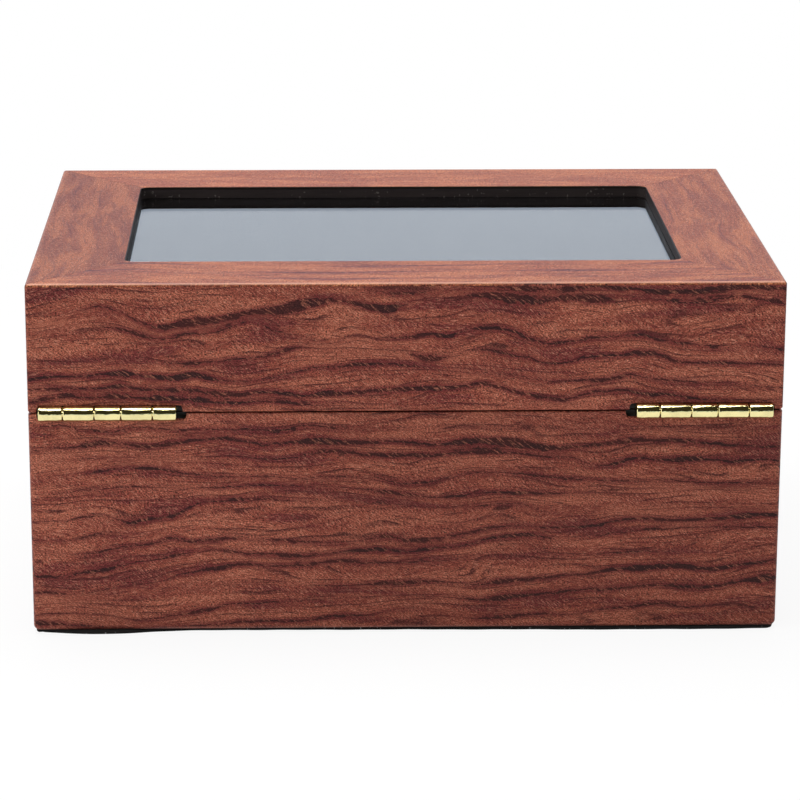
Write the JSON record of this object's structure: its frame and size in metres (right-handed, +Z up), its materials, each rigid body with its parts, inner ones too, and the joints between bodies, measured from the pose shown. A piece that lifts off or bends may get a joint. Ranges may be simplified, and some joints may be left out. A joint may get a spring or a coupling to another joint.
{
  "type": "pocket watch display box",
  "caption": "Wooden display box for pocket watches with a glass-topped lid on brass butt hinges, a swing clasp and velvet-lined compartments with cushions",
  "frame": {"origin": "middle of the face that the box rests on", "axes": "+Z up, -Y out of the front with the clasp, +Y out of the back with the hinges, +X to the right seen from the front"},
  "size_m": [0.206, 0.1642, 0.0994],
  "materials": {
    "rosewood_veneer": "figured rosewood veneer, satin",
    "core_board": "core board, its rim stained to match",
    "blackened_board": "core board painted black at the window",
    "brass": "polished",
    "glass": "clear float glass",
    "velvet": "black velvet",
    "felt": "black felt"
  },
  "bodies": {
    "base": {"base_back_panel": "core_board", "base_back_veneer": "rosewood_veneer", "base_floor": "core_board", "base_front_panel": "core_board", "base_front_veneer": "rosewood_veneer", "base_left_panel": "core_board", "base_left_veneer": "rosewood_veneer", "base_right_panel": "core_board", "base_right_veneer": "rosewood_veneer", "clasp_stud": "brass", "divider_long": "velvet", "divider_short_left": "velvet", "divider_short_right": "velvet", "felt_underside": "felt", "floor_lining": "velvet", "hinge_left_base_leaf": "brass", "hinge_left_base_screws": "brass", "hinge_left_pin": "brass", "hinge_right_base_leaf": "brass", "hinge_right_base_screws": "brass", "hinge_right_pin": "brass", "liner_back": "velvet", "liner_front": "velvet", "liner_left": "velvet", "liner_right": "velvet", "watch_cushion_back_left": "velvet", "watch_cushion_back_middle": "velvet", "watch_cushion_back_right": "velvet", "watch_cushion_front_left": "velvet", "watch_cushion_front_middle": "velvet", "watch_cushion_front_right": "velvet"},
    "lid": {"clasp_lid_plate": "brass", "clasp_lid_screws": "brass", "clasp_pin": "brass", "glass_pane": "glass", "glass_retainer": "velvet", "hinge_left_lid_leaf": "brass", "hinge_left_lid_screws": "brass", "hinge_right_lid_leaf": "brass", "hinge_right_lid_screws": "brass", "lid_back_panel": "core_board", "lid_back_veneer": "rosewood_veneer", "lid_front_panel": "core_board", "lid_front_veneer": "rosewood_veneer", "lid_left_panel": "core_board", "lid_left_veneer": "rosewood_veneer", "lid_right_panel": "core_board", "lid_right_veneer": "rosewood_veneer", "lid_top_back_veneer": "rosewood_veneer", "lid_top_front_veneer": "rosewood_veneer", "lid_top_left_veneer": "rosewood_veneer", "lid_top_panel": "blackened_board", "lid_top_right_veneer": "rosewood_veneer", "lid_wall_lining": "velvet"},
    "flap": {"clasp_flap": "brass"}
  },
  "joints": [
    {"name": "lid_hinge", "type": "hinge", "parent": "base", "child": "lid", "pos_m": [0, 0.078, 0.0634], "axis": [-1, 0, 0], "range_deg": [0, 100]},
    {"name": "clasp_hinge", "type": "hinge", "parent": "lid", "child": "flap", "pos_m": [0, -0.079, 0.0658], "axis": [-1, 0, 0], "range_deg": [-12, 120]}
  ]
}
